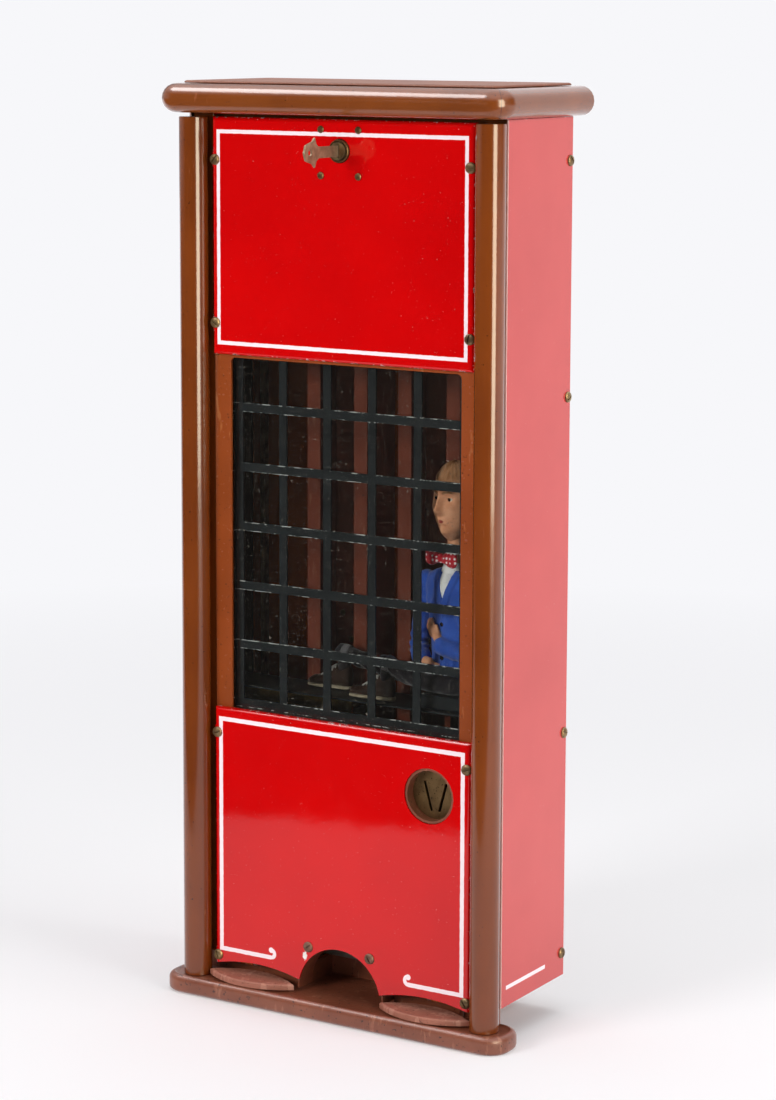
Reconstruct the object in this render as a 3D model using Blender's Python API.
"""Counter gum machine: a steel cabinet on a cast base, with a drop-front door and a doll inside.

Lengths are in metres. +X is the customer's right, +Y the back, +Z up. The origin lies on the
counter, under the middle of the cap's footprint.
"""
import math

import bmesh
import bpy
from mathutils import Matrix, Vector

MM = 0.001
DEGREE = math.pi / 180.0
QUARTER_TURN = math.pi / 2

# Clearances and cutting allowances
SEAT_GAP = 0.3 * MM
CUT_OVERRUN = 2.0 * MM
MERGE_DISTANCE = 0.001 * MM
ROUND_SIDES = 24
SMALL_SIDES = 12
LIMB_SIDES = 10
LIMB_END_SHARES = (0.0, 0.5, 0.85)

# The cabinet's own width and depth, which most other widths follow
BODY_WIDTH = 239.4 * MM
BODY_DEPTH = 89.4 * MM

# Cap: a folded steel moulding with a full half-round nose on three sides
CAP_SIDE_OVERHANG = 11.3 * MM
CAP_DEPTH = 116.9 * MM
CAP_THICKNESS = 18.9 * MM
CAP_TOP_Z = 610.0 * MM
CAP_OVERHANG = 20.3 * MM
CAP_CORNER_RADIUS = 15.1 * MM
CAP_SKIN = 2.5 * MM
CAP_RIM_WIDTH = 27.0 * MM
CAP_FRONT_RIM_WIDTH = 40.5 * MM
CAP_PLATE_MARGIN = 14.0 * MM
CAP_PLATE_THICKNESS = 1.6 * MM
CAP_PLATE_CORNER = 3.0 * MM

# Places that the rest of the machine is measured from
CAP_UNDER_Z = CAP_TOP_Z - CAP_THICKNESS
CAP_WIDTH = BODY_WIDTH + 2 * CAP_SIDE_OVERHANG
CAP_FRONT_Y = -CAP_DEPTH / 2
FACE_Y = CAP_FRONT_Y + CAP_OVERHANG

# Tooth form of every wheel and rack
PRESSURE_ANGLE = 25.0 * DEGREE
ADDENDUM_SHARE = 0.8
DEDENDUM_SHARE = 1.05
BACKLASH = 0.3 * MM
FINE_TEETH = 30

# Cabinet body of sheet steel
BODY_BOTTOM_Z = 24.7 * MM
SIDE_SHEET = 1.2 * MM
FLOOR_SHEET = 1.5 * MM
BODY_BACK_Y = FACE_Y + BODY_DEPTH
SIDE_INNER_X = BODY_WIDTH / 2 - SIDE_SHEET
FLOOR_TOP_Z = BODY_BOTTOM_Z + FLOOR_SHEET
WALL_BOTTOM_Z = FLOOR_TOP_Z + SEAT_GAP
WALL_TOP_Z = CAP_UNDER_Z - SEAT_GAP
BACK_FLANGE = 14.0 * MM

# Round columns at the front corners
COLUMN_RADIUS = 9.55 * MM
COLUMN_INSET = 8.2 * MM
COLUMN_BACK_REACH = 7.65 * MM
COLUMN_TOP_GAP = 2.5 * MM
COLUMN_SPACING = BODY_WIDTH - 2 * COLUMN_INSET
COLUMN_Y = FACE_Y + COLUMN_BACK_REACH - COLUMN_RADIUS
POST_LEG = 15.7 * MM
POST_SHEET = 1.3 * MM
POST_FRONT_Y = COLUMN_Y + COLUMN_RADIUS + SEAT_GAP

# Cast base: a sill in front, a tongue under the cabinet
SILL_SIDE_REACH = 11.5 * MM
SILL_DEPTH = 34.0 * MM
SILL_FORWARD = 17.9 * MM
SILL_HEIGHT = 12.0 * MM
SILL_CORNER_RADIUS = 14.1 * MM
SILL_FOOT_FILLET = 3.0 * MM
SILL_CREST_RADIUS = 4.0 * MM
SILL_RIM_WIDTH = 6.0 * MM
SILL_RECESS = 1.0 * MM
TONGUE_INSET = 35.7 * MM
TONGUE_FRONT = 14.0 * MM
TONGUE_BACK = 84.0 * MM
TRAY_DEPTH = 46.0 * MM
TRAY_START = 9.0 * MM
POCKET_WALL = 6.0 * MM
SILL_WIDTH = BODY_WIDTH + 2 * SILL_SIDE_REACH
TONGUE_WIDTH = BODY_WIDTH - 2 * TONGUE_INSET
SILL_FRONT_Y = FACE_Y - SILL_FORWARD
SILL_FLOOR_Z = SILL_HEIGHT - SILL_RECESS
TONGUE_TOP_Z = BODY_BOTTOM_Z - SEAT_GAP

# Leaf-shaped covers on the sill, over the door hinges
COVER_INNER_GAP = 1.3 * MM
COVER_OUTER_GAP = 0.75 * MM
COVER_SAG = 12.0 * MM
COVER_FORWARD = 3.0 * MM
COVER_THICKNESS = 4.3 * MM
COVER_EDGE = 1.2 * MM

# Door frame and its hinge
DOOR_SIDE_GAP = 1.65 * MM
DOOR_SETBACK = 5.3 * MM
DOOR_SHEET = 1.5 * MM
DOOR_DEPTH = 10.0 * MM
DOOR_BOTTOM_Z = 31.5 * MM
DOOR_TOP_MARGIN = 3.3 * MM
HINGE_Z = 24.0 * MM
HINGE_SETBACK = 4.3 * MM
HINGE_INSET = 25.3 * MM
PIN_RADIUS = 1.75 * MM
KNUCKLE_RADIUS = 2.75 * MM
KNUCKLE_LENGTH = 10.0 * MM
EAR_SHEET = 3.0 * MM
EAR_NOSE_RADIUS = 2.6 * MM
EAR_HEIGHT = 2.6 * MM
BRACKET_BACK = 18.5 * MM
DOOR_WIDTH = COLUMN_SPACING - 2 * (COLUMN_RADIUS + DOOR_SIDE_GAP)
HINGE_SPACING = DOOR_WIDTH - 2 * HINGE_INSET
HINGE_Y = FACE_Y + HINGE_SETBACK
DOOR_TOP_Z = CAP_UNDER_Z - DOOR_TOP_MARGIN
FRAME_FRONT_Y = FACE_Y + DOOR_SETBACK
FRAME_BACK_Y = FRAME_FRONT_Y + DOOR_SHEET
BORE_RADIUS = PIN_RADIUS + SEAT_GAP

# Enamelled panels, each a shallow steel pan
PANEL_INSET = 1.7 * MM
PANEL_SHEET = 1.2 * MM
UPPER_PANEL_DROP = 176.4 * MM
UPPER_TOP_MARGIN = 2.4 * MM
LOWER_TOP_Z = 196.6 * MM
LOWER_FOOT_Z = 19.6 * MM
LEAF_ARCH_RISE = 4.4 * MM
PANEL_WIDTH = DOOR_WIDTH - 2 * PANEL_INSET
PANEL_DEPTH = DOOR_SETBACK - SEAT_GAP
PANEL_BACK_Y = FACE_Y + PANEL_SHEET
UPPER_BOTTOM_Z = CAP_TOP_Z - UPPER_PANEL_DROP
UPPER_TOP_Z = CAP_UNDER_Z - UPPER_TOP_MARGIN

# Delivery arch and the hood behind it
ARCH_RADIUS = 31.9 * MM
ARCH_CENTRE_Z = 12.9 * MM
HOOD_CLEARANCE = 0.4 * MM
HOOD_SHEET = 1.2 * MM
HOOD_DEPTH = 16.4 * MM
HOOD_FLANGE_RADIUS = 43.0 * MM
HOOD_FLANGE_BOTTOM_Z = 30.0 * MM
HOOD_SCREW_SPACING = 47.8 * MM
HOOD_SCREW_Z = 43.0 * MM
HOOD_FREE_ROOM = 0.8 * MM
HOOD_INNER_RADIUS = ARCH_RADIUS + HOOD_CLEARANCE
HOOD_OUTER_RADIUS = HOOD_INNER_RADIUS + HOOD_SHEET
HOOD_ROOM_RADIUS = HOOD_OUTER_RADIUS + HOOD_FREE_ROOM

# Window, glass and lattice grille
WINDOW_INSET = 11.0 * MM
WINDOW_BOTTOM_Z = 196.2 * MM
WINDOW_DROP = 178.6 * MM
WINDOW_CORNER = 3.0 * MM
GLASS_SIDE_LAP = 4.4 * MM
GLASS_THICKNESS = 2.5 * MM
GLASS_LAP = 4.8 * MM
GRILLE_COLUMNS = 5
GRILLE_ROWS = 6
GRILLE_BAR = 6.0 * MM
GRILLE_SIDE_MARGIN = 6.25 * MM
GRILLE_TOP_DROP = 172.2 * MM
GRILLE_FIRST_BAR_Z = 199.0 * MM
GRILLE_BORDER = 9.5 * MM
GRILLE_RIM = 3.8 * MM
GRILLE_SHEET = 1.5 * MM
GRILLE_DEPTH = 3.6 * MM
WINDOW_TOP_Z = CAP_TOP_Z - WINDOW_DROP
WINDOW_WIDTH = PANEL_WIDTH - 2 * WINDOW_INSET
GLASS_WIDTH = WINDOW_WIDTH + 2 * GLASS_SIDE_LAP
GRILLE_COLUMN_PITCH = (GLASS_WIDTH - 2 * GRILLE_SIDE_MARGIN) / GRILLE_COLUMNS
GRILLE_ROW_PITCH = (CAP_TOP_Z - GRILLE_TOP_DROP - GRILLE_FIRST_BAR_Z) / GRILLE_ROWS
GLASS_FRONT_Y = FRAME_BACK_Y + SEAT_GAP
GLASS_BACK_Y = GLASS_FRONT_Y + GLASS_THICKNESS

# Panel screws, in two tapped strips behind the door's stiles
SCREW_INSET = 2.5 * MM
UPPER_SCREW_DROPS = (49.1 * MM, 155.6 * MM)
LOWER_SCREWS_Z = (179.6 * MM, 25.8 * MM)
SCREW_SHANK_RADIUS = 1.5 * MM
SCREW_HEAD_RADIUS = 3.6 * MM
SCREW_HEAD_HEIGHT = 2.3 * MM
SCREW_CLEARANCE = 0.4 * MM
SCREW_NOTCH = 9.0 * MM
STRIP_WIDTH = 5.5 * MM
STRIP_THICKNESS = 2.5 * MM
STRIP_OVERHANG = 4.0 * MM
STRIP_SWING_ROOM = 1.0 * MM
UPPER_SCREWS_Z = tuple(CAP_TOP_Z - drop for drop in UPPER_SCREW_DROPS)
SCREW_SPACING = PANEL_WIDTH - 2 * SCREW_INSET
SCREW_HOLE_RADIUS = SCREW_SHANK_RADIUS + SCREW_CLEARANCE

# Cabinet screws along the back edge of each side
SIDE_SCREW_DROPS = (47.2 * MM, 199.1 * MM)
LOW_SIDE_SCREWS_Z = (189.5 * MM, 40.2 * MM)
SIDE_SCREW_EDGE = 3.6 * MM
SIDE_STRIP_DEPTH = 6.5 * MM
SIDE_STRIP_THICKNESS = 3.0 * MM
SIDE_STRIP_OVERHANG = 8.0 * MM
SIDE_SCREWS_Z = tuple(CAP_TOP_Z - drop for drop in SIDE_SCREW_DROPS) + LOW_SIDE_SCREWS_Z

# Door lock, with its key standing in it
LOCK_DROP = 41.2 * MM
LOCK_HOLE_RADIUS = 7.8 * MM
LOCK_HOUSING_RADIUS = 7.4 * MM
LOCK_PLUG_RADIUS = 5.8 * MM
LOCK_PROUD = 1.8 * MM
PLUG_PROUD = 2.6 * MM
LOCK_PLATE_SIZE = 41.0 * MM
LOCK_PLATE_THICKNESS = 2.0 * MM
LOCK_BODY_BACK = 14.0 * MM
PLUG_BACK = 17.6 * MM
RIVET_SPACING_X = 28.2 * MM
RIVET_DROPS = (27.8 * MM, 57.1 * MM)
RIVET_SHANK_RADIUS = 1.5 * MM
RIVET_HEAD_RADIUS = 2.4 * MM
RIVET_HEAD_HEIGHT = 1.5 * MM
CAM_LENGTH = 15.0 * MM
CAM_WIDTH = 8.0 * MM
CAM_THICKNESS = 2.0 * MM
KEY_THICKNESS = 1.4 * MM
KEY_SHANK_HEIGHT = 7.2 * MM
KEY_SHANK_LENGTH = 22.0 * MM
KEY_BLADE_LENGTH = 11.0 * MM
KEY_BOW_LENGTH = 17.0 * MM
KEY_BOW_HEIGHT = 19.0 * MM
KEY_HOLE_RADIUS = 2.0 * MM
LOCK_Z = CAP_TOP_Z - LOCK_DROP
RIVETS_Z = tuple(CAP_TOP_Z - drop for drop in RIVET_DROPS)
KEY_BOW_SHARES = ((1.0, 0.36), (0.66, 0.55), (0.45, 1.0), (0.1, 0.72), (-0.4, 0.62), (-0.8, 0.5), (-1.0, 0.0))

# Keeper rail across the top of the cabinet's front
KEEPER_GAP = 0.5 * MM
KEEPER_SHEET = 1.5 * MM
KEEPER_DROP = 13.0 * MM
KEEPER_LEG = 16.0 * MM
KEEPER_FRONT_Y = FRAME_FRONT_Y + DOOR_DEPTH + KEEPER_GAP

# Coin entry
COIN_INSET = 30.4 * MM
COIN_Z = 158.4 * MM
COIN_HOLE_RADIUS = 18.4 * MM
COIN_RING_WALL = 1.5 * MM
COIN_RING_RECESS = 0.8 * MM
COIN_FLANGE_RADIUS = 21.0 * MM
COIN_FLANGE_SHEET = 1.2 * MM
COIN_PLATE_THICKNESS = 2.5 * MM
COIN_SLOT_LENGTH = 20.0 * MM
COIN_SLOT_WIDTH = 1.9 * MM
COIN_SLOT_SPACING = 11.0 * MM
COIN_SLOT_LEAN = 15.5 * DEGREE
COIN_SLOT_DROP = 2.2 * MM
CHUTE_WIDTH = 10.4 * MM
CHUTE_DEPTH = 23.0 * MM
CHUTE_SHEET = 1.0 * MM
CHUTE_BOTTOM_Z = 84.0 * MM
CHUTE_TOP_MARGIN = 4.0 * MM
COIN_X = PANEL_WIDTH / 2 - COIN_INSET

# Gum magazines, follower weights and feed table
MAGAZINE_SPACING = 70.8 * MM
MAGAZINE_WIDTH = 47.0 * MM
MAGAZINE_FRONT = 53.0 * MM
MAGAZINE_SLOT = 26.5 * MM
MAGAZINE_SHEET = 1.0 * MM
MAGAZINE_BOTTOM_Z = 77.0 * MM
MAGAZINE_TOP_DROP = 50.0 * MM
FOLLOWER_CLEARANCE = 0.9 * MM
FOLLOWER_HEIGHT = 20.0 * MM
TABLE_SHEET = 1.5 * MM
TABLE_TOP_Z = 71.5 * MM
TABLE_FRONT = 46.0 * MM
TABLE_BACK = 86.5 * MM
TABLE_MARGIN = 4.1 * MM
CHEEK_SHEET = 1.5 * MM
FEED_SHAFT_RADIUS = 2.5 * MM
FEED_SHAFT_SETBACK = 52.0 * MM
FEED_SHAFT_END = 0.9 * MM
FEED_MODULE = 1.5 * MM
FEED_TEETH = 12
FEED_GEAR_WIDTH = 5.0 * MM
PUSHER_WIDTH = 30.0 * MM
PUSHER_SHEET = 2.0 * MM
PUSHER_FRONT = 55.0 * MM
PUSHER_BACK = 86.0 * MM
PUSHER_LIP = 2.0 * MM
RACK_WIDTH = 5.0 * MM
RACK_FRONT = 50.0 * MM
RACK_LENGTH = 34.0 * MM
RACK_SLOT_ROOM = 0.7 * MM
TABLE_WIDTH = MAGAZINE_SPACING + MAGAZINE_WIDTH + 2 * TABLE_MARGIN
MAGAZINE_TOP_Z = CAP_TOP_Z - MAGAZINE_TOP_DROP
MAGAZINE_BACK_Y = BODY_BACK_Y - SIDE_SHEET - SEAT_GAP

# Cash box on the cabinet floor
CASH_LEFT_REACH = 10.2 * MM
CASH_RIGHT_GAP = 6.5 * MM
CASH_FRONT = 19.5 * MM
CASH_FEED_GAP = 0.5 * MM
CASH_HEIGHT = 53.0 * MM
CASH_SHEET = 1.2 * MM
FEED_TIP_RADIUS = FEED_TEETH * FEED_MODULE / 2 + ADDENDUM_SHARE * FEED_MODULE
CASH_BACK = FEED_SHAFT_SETBACK - FEED_TIP_RADIUS - CASH_FEED_GAP
CASH_LEFT_X = COIN_X - CASH_LEFT_REACH
CASH_RIGHT_X = SIDE_INNER_X - CASH_RIGHT_GAP

# Gum funnel beside the cash box
FUNNEL_CASH_GAP = 0.8 * MM
FUNNEL_NARROWING = 20.7 * MM
FUNNEL_TOP_Z = 61.0 * MM
FUNNEL_BACK = 38.7 * MM
FUNNEL_FRONT = 19.5 * MM
FUNNEL_SHEET = 1.2 * MM
FUNNEL_WIDTH = 2 * (CASH_LEFT_X - FUNNEL_CASH_GAP)
FUNNEL_THROAT = FUNNEL_WIDTH - 2 * FUNNEL_NARROWING

# Stage shelf, and the clockwork that hangs under it
STAGE_Z = 209.5 * MM
STAGE_SHEET = 1.2 * MM
STAGE_FRONT = 18.0 * MM
STAGE_LIP = 10.0 * MM
CLOCK_SIDE_GAP = 19.5 * MM
CLOCK_WIDTH = 95.0 * MM
CLOCK_HEIGHT = 93.5 * MM
CLOCK_FRONT = 22.0 * MM
CLOCK_BACK = 45.5 * MM
CLOCK_SHEET = 1.5 * MM
PILLAR_RADIUS = 2.5 * MM
PILLAR_INSET = 6.0 * MM
BARREL_INSET = 33.0 * MM
BARREL_DROP = 55.5 * MM
BARREL_TEETH = 48
BARREL_MODULE = 1.25 * MM
BARREL_DRUM_RADIUS = 24.0 * MM
BARREL_DRUM_WIDTH = 11.0 * MM
SECOND_PINION_TEETH = 12
SECOND_WHEEL_TEETH = 40
TRAIN_MODULE = 1.0 * MM
FAN_PINION_TEETH = 10
FAN_BEARING = 62.0 * DEGREE
FAN_BLADE_RADIUS = 11.0 * MM
FAN_BLADE_WIDTH = 9.0 * MM
FAN_BLADE_SHEET = 0.8 * MM
WHEEL_SHEET = 2.0 * MM
GEAR_SHEET = 3.0 * MM
ARBOR_RADIUS = 2.0 * MM
WINDING_RADIUS = 3.0 * MM
WINDING_SQUARE = 4.0 * MM
WINDING_SQUARE_LENGTH = 4.5 * MM
CLOCK_LEFT_X = CLOCK_SIDE_GAP - SIDE_INNER_X
CLOCK_RIGHT_X = CLOCK_LEFT_X + CLOCK_WIDTH
BARREL_X = CLOCK_LEFT_X + BARREL_INSET
CLOCK_BOTTOM_Z = STAGE_Z - CLOCK_HEIGHT
BARREL_Z = STAGE_Z - BARREL_DROP
STAGE_UNDER_Z = STAGE_Z - STAGE_SHEET

# Doll seated on the stage
DOLL_INSET = 52.5 * MM
DOLL_SETBACK = 36.0 * MM
DOLL_TURN = -15.0 * DEGREE
SEAT_WIDTH = 36.0 * MM
SEAT_DEPTH = 27.0 * MM
SEAT_HEIGHT = 9.2 * MM
HIP_HEIGHT = 13.0 * MM
HIP_WIDTH = 34.0 * MM
HIP_DEPTH = 24.0 * MM
SPINDLE_RADIUS = 2.5 * MM
SPINDLE_DROP = 29.5 * MM
SPINDLE_ARM_LENGTH = 16.0 * MM
SPINDLE_ARM_WIDTH = 6.0 * MM
SPINDLE_ARM_SHEET = 2.0 * MM
TORSO_HEIGHT = 69.0 * MM
SHOULDER_WIDTH = 60.0 * MM
TORSO_DEPTH = 24.0 * MM
ARM_RADIUS = 6.8 * MM
HAND_RADIUS = 4.6 * MM
NECK_RADIUS = 6.0 * MM
NECK_HEIGHT = 18.0 * MM
HEAD_HEIGHT = 51.0 * MM
HEAD_WIDTH = 33.0 * MM
HEAD_DEPTH = 30.0 * MM
SHOE_LENGTH = 34.0 * MM
SHOE_WIDTH = 13.0 * MM
SHOE_HEIGHT = 17.0 * MM
LEG_RADIUS = 6.0 * MM
THIGH_SHARES = (1.0, 0.96)
SHIN_SHARES = (0.93, 0.88)
REAR_LEG_BACK = 5.4 * MM
NEAR_LEG_FORWARD = 7.5 * MM
ANKLE_RISE = 8.1 * MM
LEFT_TOE_REACH = 115.94 * MM
TOE_SPACING = 40.8 * MM
ANKLE_SHARE = 0.79
SHOE_SHARES = ((0.0, 0.35, 0.30), (0.06, 0.72, 0.46), (0.2, 0.98, 0.55), (0.38, 1.0, 0.62), (0.55, 0.86, 0.8),
               (0.68, 0.8, 1.0), (0.9, 0.82, 1.0), (1.0, 0.6, 0.9))
SHOE_MIDDLE_SHARE = 0.45
HIP_SHARES = ((0.0, 0.85), (0.3, 1.0), (0.75, 1.0), (1.0, 0.9))
HIP_JOINT_SHARES = (0.4, 0.3)
TORSO_SHARES = ((0.0, 0.58, 0.92), (0.15, 0.57, 0.90), (0.4, 0.65, 0.96), (0.65, 0.76, 1.0), (0.85, 0.84, 0.92),
                (0.94, 0.68, 0.76), (1.0, 0.28, 0.52))
HEAD_SHARES = ((0.0, 0.34, 0.36), (0.08, 0.58, 0.62), (0.22, 0.78, 0.82), (0.4, 0.92, 0.95), (0.58, 1.0, 1.0),
               (0.75, 0.97, 0.97), (0.88, 0.78, 0.8), (0.96, 0.5, 0.52), (1.0, 0.2, 0.2))
SHOULDER_INSET = 5.5 * MM
SHOULDER_RISE_SHARE = 0.84
ELBOW_RISE_SHARE = 0.2
ELBOW_REACH_SHARE = 0.46
ELBOW_FORWARD = 1.0 * MM
WRIST_REACH_SHARES = (0.36, 0.08)
WRIST_RISE_SHARES = (0.12, 0.31)
WRIST_FORWARDS = (9.0 * MM, 13.0 * MM)
HAND_LIFTS = (0.0, 11.0 * MM)
UPPER_ARM_SHARES = (1.0, 0.9)
FOREARM_SHARES = (0.88, 0.8)
HAND_SHARES = (1.0, 0.7)
DOLL_X = SIDE_INNER_X - DOLL_INSET
DOLL_Y = FACE_Y + DOLL_SETBACK
SPINDLE_BOTTOM_Z = STAGE_Z - SPINDLE_DROP
HIP_TOP_Z = STAGE_Z + SEAT_GAP + SEAT_HEIGHT + SEAT_GAP + HIP_HEIGHT
TORSO_BOTTOM_Z = HIP_TOP_Z + SEAT_GAP

# Finishes: linear colour, roughness, metallic
FINISHES = {
    "brown_enamel": ((0.195, 0.045, 0.012), 0.25, 0.0),
    "base_enamel": ((0.205, 0.058, 0.033), 0.35, 0.0),
    "cover_enamel": ((0.38, 0.17, 0.115), 0.6, 0.0),
    "door_enamel": ((0.30, 0.065, 0.010), 0.3, 0.0),
    "red_enamel": ((0.52, 0.002, 0.003), 0.15, 0.0),
    "black_paint": ((0.024, 0.028, 0.030), 0.45, 0.0),
    "clear_glass": ((0.85, 0.9, 0.88), 0.05, 0.0),
    "aged_brass": ((0.26, 0.20, 0.09), 0.4, 1.0),
    "polished_brass": ((0.55, 0.40, 0.15), 0.3, 1.0),
    "steel": ((0.45, 0.45, 0.46), 0.35, 1.0),
    "tinplate": ((0.34, 0.33, 0.31), 0.45, 1.0),
    "magazine_enamel": ((0.09, 0.025, 0.013), 0.5, 0.0),
    "blue_cloth": ((0.018, 0.045, 0.30), 0.9, 0.0),
    "dark_cloth": ((0.02, 0.02, 0.022), 0.9, 0.0),
    "painted_skin": ((0.55, 0.30, 0.20), 0.6, 0.0),
    "shoe_leather": ((0.05, 0.02, 0.012), 0.5, 0.0),
}


def clear_scene():
    """Remove whatever the scene holds."""
    for thing in list(bpy.data.objects):
        bpy.data.objects.remove(thing, do_unlink=True)


def finish(name):
    """Return the named finish as a material, making it on first use."""
    material = bpy.data.materials.get(name)
    if material is None:
        colour, roughness, metallic = FINISHES[name]
        material = bpy.data.materials.new(name)
        material.use_nodes = True
        shader = material.node_tree.nodes["Principled BSDF"]
        shader.inputs["Base Color"].default_value = (*colour, 1.0)
        shader.inputs["Roughness"].default_value = roughness
        shader.inputs["Metallic"].default_value = metallic
        material.diffuse_color = (*colour, 1.0)
    return material


def axis_empty(name, place, parent=None):
    """Make an empty on a joint's axis and return it."""
    empty = bpy.data.objects.new(name, None)
    bpy.context.scene.collection.objects.link(empty)
    empty.empty_display_size = SCREW_NOTCH
    empty["world_place"] = list(place)
    home = Vector(parent["world_place"]) if parent else Vector()
    empty.parent = parent
    empty.location = Vector(place) - home
    return empty


def add_object(name, shape, material, parent=None):
    """Turn a bmesh in world coordinates into a named object, on its parent's axis if it has one."""
    home = Vector(parent["world_place"]) if parent else Vector()
    bmesh.ops.translate(shape, verts=shape.verts, vec=-home)
    mesh = bpy.data.meshes.new(name)
    shape.to_mesh(mesh)
    shape.free()
    mesh.materials.append(finish(material))
    mesh.shade_smooth()
    mesh.set_sharp_from_angle(angle=35.0 * DEGREE)
    piece = bpy.data.objects.new(name, mesh)
    bpy.context.scene.collection.objects.link(piece)
    piece.parent = parent
    return piece


def box(low, high):
    """Return a closed box between two corners."""
    low, high = Vector(low), Vector(high)
    shape = bmesh.new()
    bmesh.ops.create_cube(shape, size=1.0)
    bmesh.ops.scale(shape, vec=high - low, verts=shape.verts)
    bmesh.ops.translate(shape, vec=(low + high) / 2, verts=shape.verts)
    return shape


def loft(rings):
    """Return a closed body through rings of points, with both ends filled."""
    shape = bmesh.new()
    loops = [[shape.verts.new(point) for point in ring] for ring in rings]
    count = len(loops[0])
    for lower, upper in zip(loops, loops[1:]):
        for index in range(count):
            after = (index + 1) % count
            shape.faces.new((lower[index], lower[after], upper[after], upper[index]))
    shape.faces.new(list(reversed(loops[0])))
    shape.faces.new(loops[-1])
    bmesh.ops.recalc_face_normals(shape, faces=shape.faces)
    return shape


def extrude_y(outline, front_y, back_y):
    """Extrude an outline of (x, z) points from front_y to back_y."""
    return loft([[(x, y, z) for x, z in outline] for y in (front_y, back_y)])


def extrude_x(outline, left_x, right_x):
    """Extrude an outline of (y, z) points from left_x to right_x."""
    return loft([[(x, y, z) for y, z in outline] for x in (left_x, right_x)])


def extrude_z(outline, low_z, high_z):
    """Extrude an outline of (x, y) points from low_z to high_z."""
    return loft([[(x, y, z) for x, y in outline] for z in (low_z, high_z)])


def circle(centre, radius, sides=ROUND_SIDES):
    """Return points on a circle, as pairs."""
    turns = [2 * math.pi * step / sides for step in range(sides)]
    return [(centre[0] + radius * math.cos(a), centre[1] + radius * math.sin(a)) for a in turns]


def arc(centre, radius, start, end, steps):
    """Return points on an arc from start to end, both ends included."""
    angles = [start + (end - start) * step / steps for step in range(steps + 1)]
    return [(centre[0] + radius * math.cos(a), centre[1] + radius * math.sin(a)) for a in angles]


def rod_y(x, z, radius, front_y, back_y, sides=ROUND_SIDES):
    """Return a round rod along Y."""
    return extrude_y(circle((x, z), radius, sides), front_y, back_y)


def rod_x(y, z, radius, left_x, right_x, sides=SMALL_SIDES):
    """Return a round rod along X."""
    return extrude_x(circle((y, z), radius, sides), left_x, right_x)


def rod_z(x, y, radius, low_z, high_z, sides=ROUND_SIDES):
    """Return a round rod along Z."""
    return extrude_z(circle((x, y), radius, sides), low_z, high_z)


def dome_head(base, direction, radius, height, sides=SMALL_SIDES, steps=2):
    """Return a domed screw or rivet head that stands on base and bulges along direction."""
    turn = Vector((0.0, 0.0, 1.0)).rotation_difference(Vector(direction)).to_matrix().to_4x4()
    rings = []
    for step in range(steps + 1):
        angle = QUARTER_TURN * step / (steps + 1)
        rise = height * math.sin(angle)
        rings.append([(x, y, rise) for x, y in circle((0.0, 0.0), radius * math.cos(angle), sides)])
    shape = loft(rings)
    bmesh.ops.transform(shape, matrix=Matrix.Translation(Vector(base)) @ turn, verts=shape.verts)
    return shape


def merged(shapes):
    """Collect several separate bodies in one bmesh, for use as one cutter."""
    whole = bmesh.new()
    for shape in shapes:
        mesh = bpy.data.meshes.new("cutter_part")
        shape.to_mesh(mesh)
        shape.free()
        whole.from_mesh(mesh)
        bpy.data.meshes.remove(mesh)
    return whole


def boolean(shape, tool, operation):
    """Return shape after an exact Boolean with tool."""
    bodies = []
    for name, source in (("blank", shape), ("tool", tool)):
        mesh = bpy.data.meshes.new(name)
        source.to_mesh(mesh)
        source.free()
        body = bpy.data.objects.new(name, mesh)
        bpy.context.scene.collection.objects.link(body)
        bodies.append(body)
    blank, cutter = bodies
    modifier = blank.modifiers.new("cut", "BOOLEAN")
    modifier.operation = operation
    modifier.solver = "EXACT"
    modifier.object = cutter
    graph = bpy.context.evaluated_depsgraph_get()
    result = bpy.data.meshes.new_from_object(blank.evaluated_get(graph))
    whole = bmesh.new()
    whole.from_mesh(result)
    bmesh.ops.remove_doubles(whole, verts=whole.verts, dist=MERGE_DISTANCE)
    for body in bodies:
        mesh = body.data
        bpy.data.objects.remove(body)
        bpy.data.meshes.remove(mesh)
    bpy.data.meshes.remove(result)
    return whole


def cut(shape, *tools):
    """Cut bodies that do not touch each other from shape."""
    return boolean(shape, merged(tools), "DIFFERENCE")


def join(shape, *others):
    """Join bodies to shape, one after another."""
    for other in others:
        shape = boolean(shape, other, "UNION")
    return shape


def limb(start, end, start_radius, end_radius, sides=LIMB_SIDES):
    """Return a tapered limb between two points, with rounded ends."""
    start, end = Vector(start), Vector(end)
    ahead = (end - start).normalized()
    turn = Vector((0.0, 0.0, 1.0)).rotation_difference(ahead).to_matrix()
    rings = []
    for centre, radius, side in ((start, start_radius, -1), (end, end_radius, 1)):
        reaches = LIMB_END_SHARES[::side]
        for reach in reaches:
            middle = centre + ahead * side * radius * reach
            narrow = radius * math.sqrt(1 - reach * reach)
            rings.append([middle + turn @ Vector((x, y, 0.0)) for x, y in circle((0.0, 0.0), narrow, sides)])
    return loft(rings)


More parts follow.
